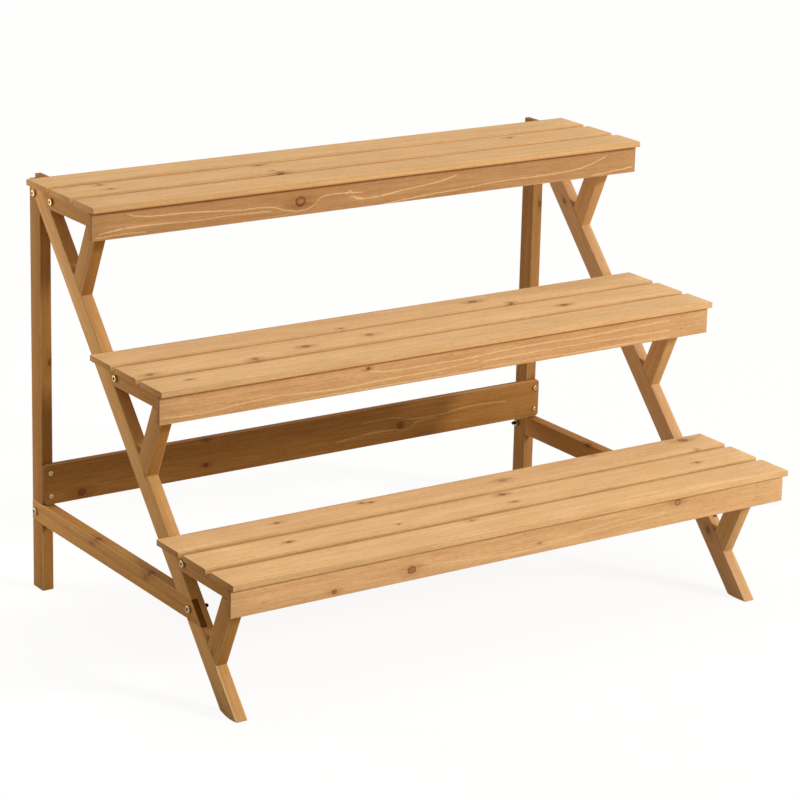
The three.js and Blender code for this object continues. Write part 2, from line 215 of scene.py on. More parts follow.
def fir(name, tone, seed, rings=0.5, depth=60, spacing=6.0, wander=5.0, knots=(), lines=(), vivid=0.9,
        streaky=1.25, painted_arris_share=0.4, painted_arris_below=None, painted_arris_tone="F6D5A4", painted_shade_above=None, end_grain_and_shade="C4B195"):
    """Planed fir with a honey stain and a satin lacquer. The stain sinks into the soft early wood
    and leaves each ring's hard late wood as a fine pale line. Knots are brown inside a dark bark
    ring, and the rings part round them. Sizes are in millimetres, in the board's own axes."""
    material = bpy.data.materials.new(name)
    material.use_nodes = True
    tree = material.node_tree
    shader = tree.nodes["Principled BSDF"]
    # a thin lacquer on open grain shines much less than a smooth coat does
    shader.inputs["Specular IOR Level"].default_value = 0.12
    place = node(tree, "Attribute", attribute_name="in_board").outputs["Vector"]
    mm = node(tree, "VectorMath", {0: place, "Scale": 1 / MM}, operation="SCALE")
    x, y, z = node(tree, "SeparateXYZ", {0: mm}).outputs

    # Noises, with cells per millimetre along, across and through the board, detail and roughness:
    # the tree's own bend, the crumbling edge of bark, the ripple of the rings, fibres a third of a
    # millimetre wide (drawn three times as coarse so that they show), streaks of 5 mm, short dark
    # pores, and patches of 30 to 80 mm where the stain took unevenly
    noises = {}
    for what, cells, detail, rough in (
            ("bend", (0.005, 0.012, 0.012), 2.5, 0.55), ("crumble", (0.16, 0.3, 0.3), 3, 0.6),
            ("ripple", (0.02, 0.25, 0.25), 3, 0.55), ("fibres", (0.02, 1, 1), 4, 0.65),
            ("streaks", (0.007, 0.2, 0.2), 3.5, 0.6), ("pores", (0.1, 0.45, 0.45), 4, 0.7),
            ("blotch", (0.012, 0.035, 0.035), 3, 0.55)):
        laid = node(tree, "Mapping", {0: mm, "Location": (seed * 7.3, seed * 3.1, seed), "Scale": cells})
        noises[what] = node(tree, "TexNoise", {
            "Vector": laid, "Scale": 1.0, "Detail": detail, "Roughness": rough})
    bend = node(tree, "MapRange", {
        VALUE: noises["bend"], FROM_MIN: 0.25, FROM_MAX: 0.75, TO_MIN: -wander, TO_MAX: wander})
    across = node(tree, "Math", {0: y, 1: bend}, operation="ADD")

    # each knot pushes the rings aside, and runs right through unless it has a depth of its own
    near_knots = []
    for kx, ky, size, kind, *kz in knots:
        through = 1 if kz else 0
        offset = node(tree, "VectorMath", {0: mm, 1: (kx, ky, *kz, 0)[:3]}, operation="SUBTRACT")
        lengths = []
        for stretch in (0.42, 0.8):
            oval = node(tree, "VectorMath", {0: offset, 1: (stretch, 1, through)}, operation="MULTIPLY")
            lengths.append(node(tree, "VectorMath", {0: oval}, operation="LENGTH"))
        reach, whorl = lengths
        push = node(tree, "MapRange", {
            VALUE: reach, FROM_MIN: size * 3.2, FROM_MAX: size * 0.4, TO_MIN: 0, TO_MAX: 0.9},
            interpolation_type="SMOOTHSTEP")
        off_y = node(tree, "SeparateXYZ", {0: offset}).outputs["Y"]
        aside = node(tree, "Math", {0: off_y, 1: push}, operation="MULTIPLY")
        across = node(tree, "Math", {0: across, 1: aside}, operation="SUBTRACT")
        ragged = node(tree, "Math", {0: noises["crumble"], 1: size * 0.7, 2: whorl}, operation="MULTIPLY_ADD")
        ragged = node(tree, "Math", {0: ragged, 1: size * 0.35}, operation="SUBTRACT")
        near_knots.append((ragged, reach, size, kind))

    # growth rings about a pith that lies below the board, at a place of its own in each board
    aside = node(tree, "Math", {0: across, 1: (seed * 13.7) % 30 - 15}, operation="ADD")
    below = node(tree, "Math", {0: z, 1: depth}, operation="ADD")
    heart = node(tree, "CombineXYZ", {0: aside, 1: below})
    radius = node(tree, "VectorMath", {0: heart}, operation="LENGTH")
    years = node(tree, "Math", {0: radius, 1: spacing}, operation="DIVIDE")
    years = node(tree, "Math", {0: noises["ripple"], 1: 0.5, 2: years}, operation="MULTIPLY_ADD")
    phase = node(tree, "Math", {0: years}, operation="FRACT")
    # through one year the stained wood darkens slowly, and the last tenth stays pale
    season = node(tree, "ValToRGB", {0: phase})
    ramp = season.color_ramp
    turn_of_year = 0.55
    ramp.elements[0].position, ramp.elements[1].position = 0.0, 1.0
    for element in ramp.elements:
        element.color = (turn_of_year, turn_of_year, turn_of_year, 1)
    for position, level in ((0.10, 0.49), (0.55, 0.44), (0.80, 0.30), (0.89, 0.85), (0.95, 0.88)):
        ramp.elements.new(position).color = (level, level, level, 1)

    # rings, fibres, streaks, pores and blotches lighten or darken the tone, blue most, red least
    tones = node(tree, "MapRange", {VALUE: season, TO_MIN: 1 - rings * 0.2, TO_MAX: 1 + rings * 0.2})
    for what, low, high, swing in (
            ("fibres", 0.3, 0.7, streaky * 0.12), ("streaks", 0.3, 0.7, streaky * 0.09),
            ("pores", 0.33, 0.72, -0.12), ("blotch", 0.3, 0.7, 0.06)):
        share = node(tree, "MapRange", {
            VALUE: noises[what], FROM_MIN: low, FROM_MAX: high, TO_MIN: 1 - swing, TO_MAX: 1 + swing})
        tones = node(tree, "Math", {0: tones, 1: share}, operation="MULTIPLY")
    pale = node(tree, "Math", {0: tones, 1: 0.7}, operation="POWER")
    deep = node(tree, "Math", {0: tones, 1: 1.35}, operation="POWER")
    shade = node(tree, "CombineXYZ", {0: pale, 1: tones, 2: deep})
    colour = node(tree, "Mix", {SHARE: 1.0, UNDER: linear(tone), OVER: shade},
                  data_type="RGBA", blend_type="MULTIPLY")

    # the lines that stand out on this board, each through the points where it runs. The curve's
    # own scale of 0 to 1 stands for 50 mm to each side of the board's middle
    reach_across = 50
    for points in lines:
        start, end = points[0][0], points[-1][0]
        along = node(tree, "MapRange", {VALUE: x, FROM_MIN: start, FROM_MAX: end})
        curve = node(tree, "FloatCurve", {1: along})
        line = curve.mapping.curves[0]
        for index, (px, py) in enumerate(points):
            spot = ((px - start) / (end - start), (py + reach_across) / (2 * reach_across))
            if index in (0, len(points) - 1):
                line.points[0 if index == 0 else -1].location = spot
            else:
                line.points.new(*spot)
        curve.mapping.update()
        middle = node(tree, "MapRange", {VALUE: curve, TO_MIN: -reach_across, TO_MAX: reach_across})
        gap = node(tree, "Math", {0: y, 1: middle}, operation="SUBTRACT")
        gap = node(tree, "Math", {0: noises["crumble"], 1: 3.0, 2: gap}, operation="MULTIPLY_ADD")
        shown = node(tree, "MapRange", {
            VALUE: noises["streaks"], FROM_MIN: 0.3, FROM_MAX: 0.6, TO_MIN: vivid * 0.6, TO_MAX: vivid})
        for what, none, full, smooth in (
                (gap, 2.4, 1.6, "SMOOTHSTEP"), (gap, -0.7, 1.4, "SMOOTHSTEP"),
                (x, start, start + 6, "LINEAR"), (x, end, end - 6, "LINEAR")):
            part = node(tree, "MapRange", {VALUE: what, FROM_MIN: none, FROM_MAX: full},
                        interpolation_type=smooth)
            shown = node(tree, "Math", {0: shown, 1: part}, operation="MULTIPLY")
        colour = node(tree, "Mix", {SHARE: shown, UNDER: colour, OVER: linear("F0CC98")}, data_type="RGBA")

    # knots: a brown disc in a dark ring, or two rings where the branch was live
    for ragged, reach, size, kind in near_knots:
        strength = {"ring": 0.1, "dark": 0.7, "faint": 0.35}[kind]
        halo = node(tree, "MapRange", {
            VALUE: reach, FROM_MIN: size * 2.4, FROM_MAX: size * 0.8, TO_MIN: 0, TO_MAX: 0.9},
            interpolation_type="SMOOTHSTEP")
        halo = node(tree, "Math", {0: halo, 1: season}, operation="MULTIPLY")
        disc = node(tree, "MapRange", {
            VALUE: ragged, FROM_MIN: size * 1.15, FROM_MAX: size * 0.75, TO_MIN: 0, TO_MAX: strength},
            interpolation_type="SMOOTHSTEP")
        layers = [(halo, "C4AF9B"), (disc, "BCA48B")]
        # each ring's place, as a share of the knot's size, and its strength
        if kind == "ring":
            bark_rings = ((0.9, 0.9), (0.62, 0.5))
        else:
            bark_rings = ((0.8, strength * 0.9), (0.1, strength * 0.8))
        for where, full in bark_rings:
            band = node(tree, "Math", {0: ragged, 1: size * where}, operation="SUBTRACT")
            band = node(tree, "Math", {0: band}, operation="ABSOLUTE")
            bark = node(tree, "MapRange", {
                VALUE: band, FROM_MIN: max(1.1, size * 0.26), FROM_MAX: 0.15, TO_MIN: 0, TO_MAX: full},
                interpolation_type="SMOOTHSTEP")
            layers.append((bark, "AD937C"))
        for share, stain in layers:
            colour = node(tree, "Mix", {SHARE: share, UNDER: colour, OVER: linear(stain)},
                          data_type="RGBA", blend_type="MULTIPLY")

    # sawn ends drink more stain. Painted shade darkens the slats' edges, which share the ends' mark, and the
    # top of an apron's face, in the corner under the board above
    stain_and_shade = [node(tree, "Attribute", attribute_name="sawn_end_and_edge_shade").outputs["Fac"]]
    if painted_shade_above is not None:
        stain_and_shade.append(node(tree, "MapRange", {
            VALUE: y, FROM_MIN: painted_shade_above, FROM_MAX: painted_shade_above + 5.5, TO_MIN: 0, TO_MAX: 0.9}))
    for share in stain_and_shade:
        colour = node(tree, "Mix", {SHARE: share, UNDER: colour, OVER: linear(end_grain_and_shade)},
                      data_type="RGBA", blend_type="MULTIPLY")

    # rounded arrises get a painted tone of their own: a pale painted highlight, partly wear, on most boards, a
    # dark painted line of shade on the slats, and on a leg only near the foot
    arris = node(tree, "Attribute", attribute_name="arris").outputs["Fac"]
    painted_arris = node(tree, "Math", {0: arris, 1: noises["streaks"]}, operation="MULTIPLY")
    painted_arris = node(tree, "Math", {0: painted_arris, 1: painted_arris_share}, operation="MULTIPLY", use_clamp=True)
    if painted_arris_below is not None:
        low_down = node(tree, "MapRange", {VALUE: x, FROM_MIN: painted_arris_below + 20, FROM_MAX: painted_arris_below})
        painted_arris = node(tree, "Math", {0: painted_arris, 1: low_down}, operation="MULTIPLY")
    colour = node(tree, "Mix", {SHARE: painted_arris, UNDER: colour, OVER: linear(painted_arris_tone)}, data_type="RGBA")
    tree.links.new(colour.outputs[2], shader.inputs["Base Color"])
    satin = node(tree, "MapRange", {
        VALUE: noises["fibres"], FROM_MIN: 0.3, FROM_MAX: 0.7, TO_MIN: 0.52, TO_MAX: 0.66})
    tree.links.new(satin.outputs[0], shader.inputs["Roughness"])
    # the late wood stands up to 0.3 mm proud of the early wood, and the pores are pits
    relief = node(tree, "Math", {0: noises["pores"], 1: -0.6, 2: noises["fibres"]}, operation="MULTIPLY_ADD")
    relief = node(tree, "Math", {0: season, 1: 0.4, 2: relief}, operation="MULTIPLY_ADD")
    bump = node(tree, "Bump", {"Height": relief, "Strength": 0.4, "Distance": 0.3 * MM})
    tree.links.new(bump.outputs[0], shader.inputs["Normal"])
    return material


def fit(piece, material, slot, *nodes):
    """Gives the piece its finish and puts it in the place of its CAD nodes, where it has any."""
    piece.data.name = piece.name
    piece.data.materials.clear()
    piece.data.materials.append(material)
    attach(piece, "root")
    if nodes:
        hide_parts(*nodes)


def middle_of(node_name):
    """The middle of a CAD node's box."""
    low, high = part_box(node_name)
    return (low + high) / 2


SIDES = (("left", -1), ("right", 1))
# framing of 32 by 19 mm. The side frames are halved together on the lap plane. SEAT is the room
# left in a joint, PAST is how far a cut goes beyond the timber, and THROUGH is longer than any bore
WIDTH, SEAT, PAST, THROUGH = 32 * MM, 0.3 * MM, 10 * MM, 120 * MM
POST_LOW, POST_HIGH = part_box("right_post")
INNER, OUTER = POST_LOW.x, POST_HIGH.x
LAP = (INNER + OUTER) / 2
RAIL_LOW, RAIL_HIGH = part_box("right_rail")
# the diagonal leg rises 219 mm for each 198 mm back. Its toe stands at the front, its heel behind
TIER_STEP = Vector((0, 198, 219)) * MM
LEG_SLOPE = math.atan2(TIER_STEP.z, TIER_STEP.y)
LEG_UP = Vector((0, math.cos(LEG_SLOPE), math.sin(LEG_SLOPE)))
LEG_FRONT = Vector((0, -math.sin(LEG_SLOPE), math.cos(LEG_SLOPE)))
LEG_LOW, LEG_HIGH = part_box("right_stringer")
LEG_TOE = Vector((LAP, LEG_LOW.y, 0))
LEG_HEEL = LEG_TOE + BACK * (WIDTH / math.sin(LEG_SLOPE))


def bolt_hole(piece, name):
    """Bores a piece of the right side frame for a bolt, with room for its 6 mm shank."""
    drill(piece, middle_of(f"right_bolt_{name}"), 6.8 * MM, THROUGH)


def leg_waste(x0, x1, up_leg, room):
    """A block on the leg's slope between two depths, to cut the leg's way through a board. Its
    underside lies at the leg's, apart from the room between them."""
    half = Vector(((x1 - x0) / 2, 0.2, 0.1))
    middle = Vector(((x0 + x1) / 2, LEG_HEEL.y, 0)) + LEG_UP * up_leg + LEG_FRONT * (half.z + room)
    return blank("waste", middle - half, middle + half, LEG_SLOPE)


post = blank("right_post_timber", POST_LOW, POST_HIGH)
ease(post, UP, 1.6 * MM)
combine(post, leg_waste(LAP, LAP + 0.03, 0.83, SEAT))
combine(post, blank("waste", Vector((LAP, POST_LOW.y - PAST, RAIL_LOW.z - SEAT)),
                    Vector((LAP + 0.03, POST_HIGH.y + PAST, RAIL_HIGH.z + SEAT))))
bolt_hole(post, "post_top")
bolt_hole(post, "post_rail")
soften(post)
# knots, here and on the other boards: along and across in mm, size, kind, and depth for some
POST_KNOTS = {"left": [(39, -8, 5.5, "dark", 15)],
              "right": [(183.5, -5.5, 4.2, "dark", 15), (-120, -3, 2.5, "faint", 14)]}
# the left and right posts are one fir, their tones set apart as painted shade, the left darker
POST_TONES_WITH_PAINTED_SHADE = {"left": "9B6B33", "right": "A3733E"}
PALE_ENDS = "F3E7D3"
for side, sign in SIDES:
    piece = placed(post, f"{side}_post_timber", side)
    lay_grain(piece, middle_of(f"{side}_post"), UP, -BACK)
    timber = fir(f"Honey_fir_{side}_post", POST_TONES_WITH_PAINTED_SHADE[side], 3 + sign, rings=0.7, depth=25, spacing=4.5,
                 knots=POST_KNOTS[side], end_grain_and_shade=PALE_ENDS)
    fit(piece, timber, "rear_wood", f"{side}_post")

# ---- Diagonal legs ----
# One length of the same fir a side, from the front foot to the top of the post. The feet are sawn
# level and rubbed round, the rail is let in flush outside, and the top is halved over the post.


def saw(piece, point, waste):
    """Saws the piece through at a point. The waste side is where the vector points."""
    pick_edges(piece, lambda a, b: True)
    bpy.ops.mesh.bisect(plane_co=point, plane_no=waste, use_fill=True, clear_outer=True)
    bpy.ops.object.mode_set(mode="OBJECT")


# the leg's timber is cut too long at both ends, starting this far below the floor
LEG_LENGTH, BELOW_FLOOR = 1.0, 60 * MM
leg_middle = LEG_TOE + LEG_UP * (LEG_LENGTH / 2 - BELOW_FLOOR) - LEG_FRONT * (WIDTH / 2)
leg_half = Vector((OUTER - INNER, LEG_LENGTH, WIDTH)) / 2
leg = blank("right_leg", leg_middle - leg_half, leg_middle + leg_half, LEG_SLOPE)
ease(leg, LEG_UP, 1.3 * MM)
saw(leg, (0, 0, 0), -UP)
saw(leg, LEG_HIGH, UP)
saw(leg, LEG_HIGH, BACK)
# TOUCHING is how close to a face a point counts as on it. NEAR is within a few mm of a foot's edge
TOUCHING, NEAR = 0.1 * MM, 4 * MM
HEEL_ROUND, TOE_ROUND = 2 * MM, 3.5 * MM
round_over(leg, HEEL_ROUND, 6, lambda a, b: max(a.z, b.z) < TOUCHING and min(a.y, b.y) > LEG_HEEL.y - NEAR)
round_over(leg, TOE_ROUND, 4, lambda a, b: max(a.z, b.z) < TOUCHING and max(a.y, b.y) < LEG_TOE.y + NEAR)
# planes clear of the stand in front of it, behind it and above it, and one between rail and post top
CLEAR_FRONT, CLEAR_BACK, CLEAR_TOP, MID_HEIGHT = -0.4, 0.4, 0.8, 0.3
combine(leg, blank("waste", Vector((INNER - PAST, POST_LOW.y - SEAT, MID_HEIGHT)),
                   Vector((LAP, CLEAR_BACK, CLEAR_TOP))))
combine(leg, blank("waste", Vector((LAP, CLEAR_FRONT, RAIL_LOW.z - SEAT)),
                   Vector((OUTER + PAST, 0.1, RAIL_HIGH.z + SEAT))))
bolt_hole(leg, "post_top")
bolt_hole(leg, "stringer_rail")
soften(leg)
LEG_KNOTS = {"left": [(-60, 9, 2.5, "faint")], "right": [(285.5, -1, 3.8, "dark"), (-316, 0, 4.8, "dark")]}
# the left and right legs are one fir, their tones set apart as painted shade, the left darker
LEG_TONES_WITH_PAINTED_SHADE = {"left": "C19057", "right": "CB9C6B"}
# the left foot's underside is rubbed to a shallow curve from heel to toe, in five flats
CURVE_MIDDLE, CURVE_RADIUS = LEG_TOE.y + 16 * MM, 110 * MM
for side, sign in SIDES:
    piece = placed(leg, f"{side}_leg", side)
    if side == "left":
        for degrees in (12, 7, 2, -3, -8):
            outward = Vector((0, math.sin(math.radians(degrees)), -math.cos(math.radians(degrees))))
            saw(piece, Vector((0, CURVE_MIDDLE, CURVE_RADIUS)) + outward * CURVE_RADIUS, outward)
    lay_grain(piece, middle_of(f"{side}_stringer"), LEG_UP, RIGHT)
    # the leg's arrises get a strong pale painted highlight, near the foot only
    timber = fir(f"Honey_fir_{side}_leg", LEG_TONES_WITH_PAINTED_SHADE[side], 11 + 2 * sign, rings=0.7, depth=30, spacing=4.0,
                 wander=3, knots=LEG_KNOTS[side], painted_arris_share=1.8, painted_arris_below=-365, end_grain_and_shade=PALE_ENDS)
    fit(piece, timber, "frame_wood", f"{side}_stringer")

# ---- Low rails ----
# Level ties between the legs, of the same timber, halved over both and bolted. The front end is
# sawn to the leg's slope and shows its end grain just inside the leg's edge.

END_RECESS = 0.8 * MM
rail = blank("right_low_rail", Vector((INNER, RAIL_LOW.y - 2 * PAST, RAIL_LOW.z)), RAIL_HIGH)
ease(rail, BACK, 1.2 * MM)
saw(rail, LEG_TOE - LEG_FRONT * END_RECESS, LEG_FRONT)
combine(rail, blank("waste", Vector((INNER - PAST, POST_LOW.y - SEAT, 0)),
                    Vector((LAP, CLEAR_BACK, MID_HEIGHT))))
combine(rail, leg_waste(INNER - PAST, LAP, 0.15, -SEAT))
bolt_hole(rail, "post_rail")
bolt_hole(rail, "stringer_rail")
soften(rail)
RAIL_KNOTS = {"left": [(53, 16, 5, "dark", -6), (66, 6, 3, "faint", -9), (-110, 16, 5.5, "dark", -6),
                       (-98, 5, 3.5, "faint", -9)],
              "right": [(54, 15, 4.5, "dark", -8)]}
# the left and right rails are one fir; the right one, seen by its inner face, is toned deeper as painted shade
RAIL_TONES_WITH_PAINTED_SHADE = {"left": "B07E42", "right": "B17937"}
for side, sign in SIDES:
    piece = placed(rail, f"{side}_low_rail", side)
    lay_grain(piece, middle_of(f"{side}_rail"), BACK, RIGHT)
    timber = fir(f"Honey_fir_{side}_rail", RAIL_TONES_WITH_PAINTED_SHADE[side], 21 + 3 * sign, rings=0.7, depth=22, spacing=4.5,
                 knots=RAIL_KNOTS[side], end_grain_and_shade="AA9B76")
    fit(piece, timber, "frame_wood", f"{side}_rail")

# ---- Cross board ----
# A 64 by 10 mm board that ties the two posts, screwed to their front faces. Its corners are
# rounded off, and it is of a browner lot of fir with strong knots.

board = blank("rear_cross_board", *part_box("cross_board"))
round_over(board, 6 * MM, 6, lambda a, b: abs((b - a).normalized().y) > 0.999)
soften(board, 1.1 * MM)
# the turn of a cylinder that lies from front to back
ALONG_Y = (math.pi / 2, 0, 0)
for side in ("left", "right"):
    for level in ("lower", "upper"):
        drill(board, middle_of(f"{side}_screw_{level}"), 4.3 * MM, THROUGH, ALONG_Y)
lay_grain(board, middle_of("cross_board"), RIGHT, -BACK)
BOARD_KNOTS = [(-403, -21, 6, "dark"), (-184, -14, 3.2, "dark"), (-184, 29, 3, "faint"), (184, -5, 6, "dark")]
# growth lines, here and on the aprons, through points along and across in mm
BOARD_LINES = [
    [(56, -15), (100, -12), (140, -10.5), (178, -12)],
    [(106, 9), (168, 10), (206, 3), (270, 2), (308, 6), (361, 6), (403, 3)],
    [(106, -10), (164, -10), (194, -14), (219, -4), (257, -2)],
]
timber = fir("Brown_fir_cross_board", "9C6A32", 5, rings=0.6, depth=30, spacing=7,
             knots=BOARD_KNOTS, lines=BOARD_LINES, vivid=0.3, streaky=1.7)
fit(board, timber, "rear_wood", "cross_board")

# ---- Bearers ----
# Level arms under each shelf's ends, 35 mm deep, from the apron back to the leg, and sawn to the
# leg's slope there. A bolt holds each to the batten beside it.

TIERS = (1, 2, 3)
# the left and right bearers and braces are one fir; the left ones are toned much darker as painted shade
ARM_TONES_WITH_PAINTED_SHADE = {"left": "A67438", "right": "CE9C64"}
bearer = blank("right_bearer_arm_1", *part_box("right_bearer_1"))
ease(bearer, BACK, 1.2 * MM)
saw(bearer, LEG_TOE + LEG_FRONT * SEAT, -LEG_FRONT)
bolt_hole(bearer, "bearer_1")
soften(bearer)
for tier in TIERS:
    for side, sign in SIDES:
        piece = placed(bearer, f"{side}_bearer_arm_{tier}", side, TIER_STEP * (tier - 1))
        lay_grain(piece, middle_of(f"{side}_bearer_{tier}"), BACK, RIGHT)
        timber = fir(f"Honey_fir_{piece.name}", ARM_TONES_WITH_PAINTED_SHADE[side], 31 + 3 * tier + sign,
                     rings=0.7, depth=26, spacing=4.5)
        fit(piece, timber, "frame_wood", f"{side}_bearer_{tier}")

# ---- Braces ----
# Short struts of the 32 mm timber that prop the bearers from the leg and make its Y shape. They
# are sawn level above and to the leg's slope below.

BRACE_SLOPE = math.radians(65.5)
BRACE_UP = Vector((0, -math.cos(BRACE_SLOPE), math.sin(BRACE_SLOPE)))
brace_low, brace_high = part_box("right_brace_1")
brace_top = Vector((LAP, brace_low.y + WIDTH / math.sin(BRACE_SLOPE) / 2, brace_high.z))
# the timber is cut too long at both ends, and stands this far above the bearer at first
BRACE_LENGTH, ABOVE_BEARER = 0.3, 30 * MM
brace_middle = brace_top - BRACE_UP * (BRACE_LENGTH / 2 - ABOVE_BEARER)
brace_half = Vector((OUTER - INNER, WIDTH, BRACE_LENGTH)) / 2
brace = blank("right_strut_1", brace_middle - brace_half, brace_middle + brace_half,
              math.pi / 2 - BRACE_SLOPE)
ease(brace, BRACE_UP, 1.6 * MM)
saw(brace, brace_top, UP)
saw(brace, LEG_TOE + LEG_FRONT * SEAT, -LEG_FRONT)
soften(brace)
BRACE_KNOTS = {("left", 1): [(-46, -6, 3, "ring", -9.5)]}
for tier in TIERS:
    for side, sign in SIDES:
        piece = placed(brace, f"{side}_strut_{tier}", side, TIER_STEP * (tier - 1))
        lay_grain(piece, middle_of(f"{side}_brace_{tier}"), BRACE_UP, RIGHT)
        timber = fir(f"Honey_fir_{piece.name}", ARM_TONES_WITH_PAINTED_SHADE[side], 47 + 3 * tier + sign,
                     rings=0.7, depth=26, spacing=4.5, knots=BRACE_KNOTS.get((side, tier), []))
        fit(piece, timber, "frame_wood", f"{side}_brace_{tier}")

# ---- Battens ----
# Three cross pieces under each shelf, nailed up through by the slats. The outer two lie against
# the bearers and take their bolts.

batten = blank("middle_batten_1", *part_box("batten_1_middle"))
ease(batten, BACK, 1.0 * MM, 2)
soften(batten)
to_the_right = middle_of("batten_1_right") - middle_of("batten_1_middle")
outer_batten = placed(batten, "right_batten_1", shift=to_the_right)
bolt_hole(outer_batten, "bearer_1")
for tier in TIERS:
    for place, sign in (("left", -1), ("middle", 0), ("right", 1)):
        first = batten if place == "middle" else outer_batten
        piece = placed(first, f"{place}_batten_{tier}", place, TIER_STEP * (tier - 1))
        lay_grain(piece, middle_of(f"batten_{tier}_{place}"), BACK, RIGHT)
        timber = fir(f"Honey_fir_{piece.name}", "C28E54", 61 + 5 * tier + sign, rings=0.6, depth=30, spacing=5)
        fit(piece, timber, "frame_wood", f"batten_{tier}_{place}")

# ---- Brads ----
# Headless steel nails, 1.6 mm across, punched just below the surface of slats and aprons where
# they cross the battens. The stain has darkened them.

BRAD, BRAD_LENGTH, SUNK = 1.6 * MM, 4 * MM, 0.5 * MM
batten_places = [middle_of(f"batten_1_{place}").x for place in ("left", "middle", "right")]


def punch(name, piece, places, axis):
    """Sinks a round nail hole at each place, and returns the brads in them as one object."""
    turn = (0, 0, 0) if axis.z else ALONG_Y
    brads = []
    for place in places:
        drill(piece, place, BRAD * 1.15, 2 * SUNK, turn)
        brads.append(rod("brad", Vector(place) - axis * (BRAD_LENGTH / 2 + SUNK * 0.7), BRAD / 2,
                         BRAD_LENGTH, 12, turn))
        round_over(brads[-1], 0.25 * MM, 2,
                   lambda a, b: min(a.dot(axis), b.dot(axis)) > Vector(place).dot(axis) - SUNK)
    take(brads[0])
    for brad in brads:
        brad.select_set(True)
    bpy.ops.object.join()
    return settle(name)


# Drawn steel wire, dulled by the stain that was brushed over it: dark brown-grey dots, half matt,
# with a cloudy film whose patches are about a millimetre wide
steel = bpy.data.materials.new("Bright_steel_wire_stained")
steel.use_nodes = True
tree = steel.node_tree
shader = tree.nodes["Principled BSDF"]
shader.inputs["Metallic"].default_value = 1
shader.inputs["Roughness"].default_value = 0.5
spot = node(tree, "TexCoord").outputs["Object"]
film = node(tree, "TexNoise", {"Vector": spot, "Scale": 0.9 / MM, "Detail": 2.0})
dulled = node(tree, "Mix", {SHARE: film, UNDER: linear("6E5238"), OVER: linear("8C7960")}, data_type="RGBA")
tree.links.new(dulled.outputs[2], shader.inputs["Base Color"])

# ---- Aprons ----
# Boards on edge under each shelf's front, 42 by 10 mm, nailed to the battens' ends. Flat-sawn, so
# the growth rings run along them as long pale lines that part round the knots.

APRON_LINES = {
    1: [[(-182, 3), (-116, -6), (-49, -10), (10, -13)],
        [(40, -9), (90, -4), (140, 2), (200, 5), (250, 3), (262, 1)],
        [(-40, -14), (30, -12), (120, -6), (200, -3), (262, 1)]],
    2: [
        [(-486, -10), (-417, -12.5), (-354, -8), (-285, -6), (-208, -10.5), (-109, -8), (-30, -7.5), (54, -3)],
        [(-478, -20), (-344, -20), (-251, -17.5), (-75, -17.7), (55, -17)],
        [(-158, 17.5), (-147, 10.5), (-125, 5), (-98, 3.3), (-53, 3), (54, 3)],
        [(36, 3), (106, 6), (177, 7), (237, 5.6), (298, 7.3), (416, 9)],
        [(56, -6), (106, -5), (202, -4.4), (299, -5), (416, -6)],
        [(57, -15), (130, -15.3), (251, -16.4), (417, -17)],
    ],
    3: [
        [(-434, 14.5), (-411, 8.4), (-329, 4.8), (-243, -1), (-199, -2), (-164, -10.7), (-141, -14),
         (-117, -7.5), (-101, 4), (-67, 5), (-29, 2)],
        [(-45, -6.5), (-16, -7.5), (40, -2), (115, 5.5), (143, 12)],
        [(3, -20.5), (87, -14.5), (154, -11.5), (221, -7.5), (308, -7), (374, -4), (400, 1.6), (434, 12.5)],
        [(401, -17.5), (436, -15.5), (466, -13), (487, -10.5)],
        [(-482, -12), (-440, -7), (-411, -6), (-330, -8), (-250, -7.5), (-190, -9)],
        [(-487, -16), (-440, -15), (-400, -15.5)],
        [(-62, 2), (-52, 7), (-45, -3), (-34, 1)],
        [(-58, -5), (-50, -2), (-42, -6), (-28, -5)],
    ],
}
APRON_KNOTS = {
    1: [(-324, -13, 3.6, "dark"), (-195, -5, 6, "dark"), (283, 12.5, 4.5, "ring"), (28, -6, 1.6, "faint")],
    2: [(-145, 12, 2.6, "dark")],
    3: [(-141, 0, 7.4, "ring")],
}
APRON_TONES = {1: "D6A673", 2: "CC9D6B", 3: "B98A5A"}
LINES_VIVID = {1: 0.45, 2: 0.75, 3: 0.75}
# the colour of sawn ends by tier, also used for the painted shade on slat edges and under the slats on the
# aprons
SHELF_ENDS = {1: "B3A081", 2: "BCA889", 3: "CBB899"}
# painted shade above this height over the apron's middle, up to the slat, in the corner under its nose. Brads
# below its top edge
PAINTED_SHADE_ABOVE, BRAD_DROPS = 15.5, (8 * MM, 28 * MM)
for tier in TIERS:
    low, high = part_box(f"apron_{tier}")
    apron = blank(f"front_apron_{tier}", low, high)
    ease(apron, RIGHT, 1.4 * MM)
    soften(apron)
    places = [(x, low.y, high.z - drop) for x in batten_places for drop in BRAD_DROPS]
    brads = punch(f"apron_brads_{tier}", apron, places, -BACK)
    lay_grain(apron, (low + high) / 2, RIGHT, -BACK)
    timber = fir(f"Honey_fir_apron_{tier}", APRON_TONES[tier], 71 + 7 * tier, rings=0.45, depth=45, spacing=8,
                 knots=APRON_KNOTS[tier], lines=APRON_LINES[tier], vivid=LINES_VIVID[tier],
                 painted_shade_above=PAINTED_SHADE_ABOVE, end_grain_and_shade=SHELF_ENDS[tier])
    fit(apron, timber, "frame_wood", f"apron_{tier}")
    fit(brads, steel, "zinc_plated_steel")

# ---- Slats ----
# Three boards a shelf, 62 by 9 mm, nailed down on the battens. The arrises are planed round, and
# the front board of the top shelf has the fullest nose.

